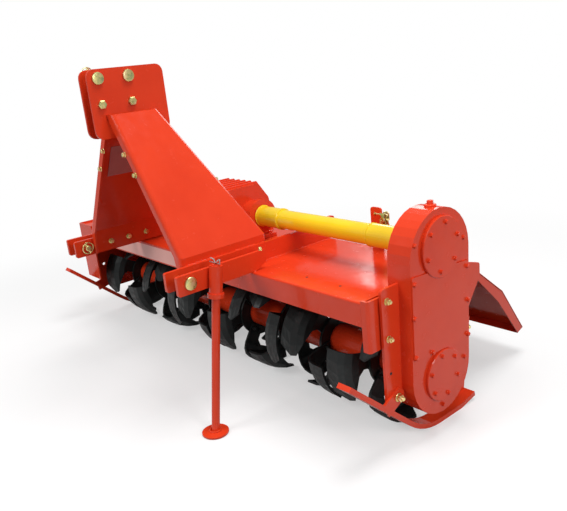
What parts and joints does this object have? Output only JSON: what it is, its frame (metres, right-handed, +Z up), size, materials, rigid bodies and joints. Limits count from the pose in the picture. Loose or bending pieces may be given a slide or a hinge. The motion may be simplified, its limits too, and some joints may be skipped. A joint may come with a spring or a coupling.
{
  "type": "rotary tiller",
  "caption": "Side gear-drive rotary tiller for a three-point hitch, with A-frame mast, guarded drive shaft, bladed rotor, skids, hinged tailgate and parking stand.",
  "frame": {"origin": "bottom centre of the machine's box as it stands on its skids and parking stand", "axes": "+Z up, -Y towards the tractor, +X towards the gearcase end, along the rotor"},
  "size_m": [1.8812, 1.09, 1.1142],
  "materials": {
    "red_paint": "glossy",
    "black_tine": "satin",
    "yellow_guard": "glossy",
    "zinc_plate": "satin",
    "bare_steel": "satin"
  },
  "bodies": {
    "root": {"chain_bracket_left": "red_paint", "chain_bracket_right": "red_paint", "chain_left": "zinc_plate", "chain_right": "zinc_plate", "corner_post": "red_paint", "deck": "red_paint", "drive_tube": "yellow_guard", "front_beam": "red_paint", "gearbox": "red_paint", "gearbox_left_cap": "red_paint", "gearcase": "red_paint", "gearcase_cover": "red_paint", "hinge_rod": "bare_steel", "hitch_bar_long_left": "red_paint", "hitch_bar_long_right": "red_paint", "hitch_bar_outer_left": "red_paint", "hitch_bar_outer_right": "red_paint", "input_bearing_cap": "red_paint", "left_bearing_cap": "red_paint", "left_bearing_housing": "red_paint", "left_end_plate": "red_paint", "lower_bearing_cap": "red_paint", "lower_hitch_pin_left": "zinc_plate", "lower_hitch_pin_right": "zinc_plate", "mast_arm_left": "red_paint", "mast_arm_right": "red_paint", "mast_bolt_front": "zinc_plate", "mast_bolt_rear": "zinc_plate", "mast_plate_left": "red_paint", "mast_plate_right": "red_paint", "right_end_plate": "red_paint", "skid_left": "red_paint", "skid_right": "red_paint", "stand_socket": "red_paint", "top_pin_front": "zinc_plate", "top_pin_rear": "zinc_plate", "upper_bearing_cap": "red_paint"},
    "rotor": {"rotor_shaft": "red_paint", "tine_set_1": "black_tine", "tine_set_2": "black_tine", "tine_set_3": "black_tine", "tine_set_4": "black_tine", "tine_set_5": "black_tine", "tine_set_6": "black_tine", "tine_set_7": "black_tine", "tine_set_8": "black_tine"},
    "input": {"input_shaft": "bare_steel"},
    "tailgate": {"tailgate": "red_paint"},
    "stand": {"parking_stand": "red_paint"}
  },
  "joints": [
    {"name": "rotor_spin", "type": "hinge", "parent": "root", "child": "rotor", "pos_m": [-0.00665, -0.045, 0.1833], "axis": [1, 0, 0], "continuous": true},
    {"name": "input_spin", "type": "hinge", "parent": "root", "child": "input", "pos_m": [-0.00665, -0.175, 0.5599], "axis": [0, 1, 0], "continuous": true},
    {"name": "tailgate_lift", "type": "hinge", "parent": "root", "child": "tailgate", "pos_m": [-0.00665, 0.246, 0.405], "axis": [1, 0, 0], "range_deg": [0, 50]},
    {"name": "stand_slide", "type": "slide", "parent": "root", "child": "stand", "axis": [0, 0.1582, 0.9874], "range_m": [0, 0.28]}
  ],
  "couplings": [
    {"joint": "input_spin", "follows": "rotor_spin", "ratio": 2.57}
  ]
}
